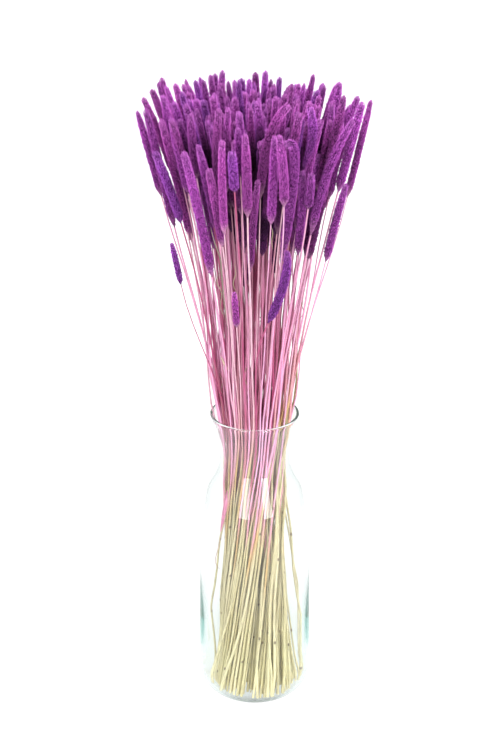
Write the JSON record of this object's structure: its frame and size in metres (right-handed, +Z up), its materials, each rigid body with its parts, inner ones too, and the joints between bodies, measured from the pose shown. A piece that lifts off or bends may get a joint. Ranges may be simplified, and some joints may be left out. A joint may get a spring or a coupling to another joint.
{
  "type": "vase of dried timothy grass",
  "caption": "Clear glass bottle vase with a flared mouth, holding an upright bunch of violet-dyed dried timothy grass that fans out above the rim.",
  "frame": {"origin": "centre of the vase's flat foot, on the surface that the vase stands on", "axes": "+Z up along the vase's axis; the front of the bunch faces -Y; +X to the right seen from the front"},
  "size_m": [0.2073, 0.1828, 0.622],
  "materials": {
    "clear_glass": "clear, polished, with a faint green-grey tint in its thick edges",
    "dyed_grass": "dull dry plant fibre: violet velvety seed spikes on pink stems that fade to straw colour"
  },
  "bodies": {
    "root": {"vase": "clear_glass", "stalk_01": "dyed_grass", "stalk_02": "dyed_grass", "stalk_03": "dyed_grass", "stalk_04": "dyed_grass", "stalk_05": "dyed_grass", "stalk_06": "dyed_grass", "stalk_07": "dyed_grass", "stalk_08": "dyed_grass", "stalk_09": "dyed_grass", "stalk_10": "dyed_grass", "stalk_11": "dyed_grass", "stalk_12": "dyed_grass", "stalk_13": "dyed_grass", "stalk_14": "dyed_grass", "stalk_15": "dyed_grass", "stalk_16": "dyed_grass", "stalk_17": "dyed_grass", "stalk_18": "dyed_grass", "stalk_19": "dyed_grass", "stalk_20": "dyed_grass", "stalk_21": "dyed_grass", "stalk_22": "dyed_grass", "stalk_23": "dyed_grass", "stalk_24": "dyed_grass", "stalk_25": "dyed_grass", "stalk_26": "dyed_grass", "stalk_27": "dyed_grass", "stalk_28": "dyed_grass", "stalk_29": "dyed_grass", "stalk_30": "dyed_grass", "stalk_31": "dyed_grass", "stalk_32": "dyed_grass", "stalk_33": "dyed_grass", "stalk_34": "dyed_grass", "stalk_35": "dyed_grass", "stalk_36": "dyed_grass", "stalk_37": "dyed_grass", "stalk_38": "dyed_grass", "stalk_39": "dyed_grass", "stalk_40": "dyed_grass", "stalk_41": "dyed_grass", "stalk_42": "dyed_grass", "stalk_43": "dyed_grass", "stalk_44": "dyed_grass", "stalk_45": "dyed_grass", "stalk_46": "dyed_grass", "stalk_47": "dyed_grass", "stalk_48": "dyed_grass", "stalk_49": "dyed_grass", "stalk_50": "dyed_grass", "stalk_51": "dyed_grass", "stalk_52": "dyed_grass", "stalk_53": "dyed_grass", "stalk_54": "dyed_grass", "stalk_55": "dyed_grass", "stalk_56": "dyed_grass", "stalk_57": "dyed_grass", "stalk_58": "dyed_grass", "stalk_59": "dyed_grass"}
  },
  "joints": []
}
